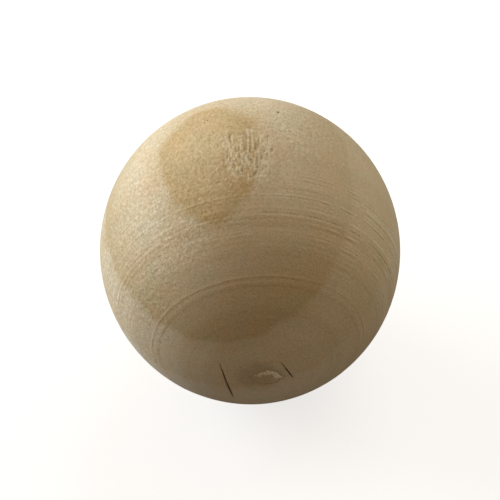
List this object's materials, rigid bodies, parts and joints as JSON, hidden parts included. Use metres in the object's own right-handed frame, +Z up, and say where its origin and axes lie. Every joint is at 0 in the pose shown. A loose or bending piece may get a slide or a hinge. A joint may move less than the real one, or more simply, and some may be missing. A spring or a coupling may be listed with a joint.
{
  "type": "wooden ball",
  "caption": "Plain turned wooden ball, slightly longer along its grain, with a parting stub and drying checks at one end and a rough crushed patch on top.",
  "frame": {"origin": "the ball's centre", "axes": "+Y along the lathe's axis and the grain, away from the parted-off end, which is at -Y; +Z up as the ball lies, with the pith's side up"},
  "size_m": [0.05, 0.052, 0.05],
  "materials": {
    "turned_wood": "matte"
  },
  "bodies": {
    "root": {"ball": "turned_wood"}
  },
  "joints": []
}
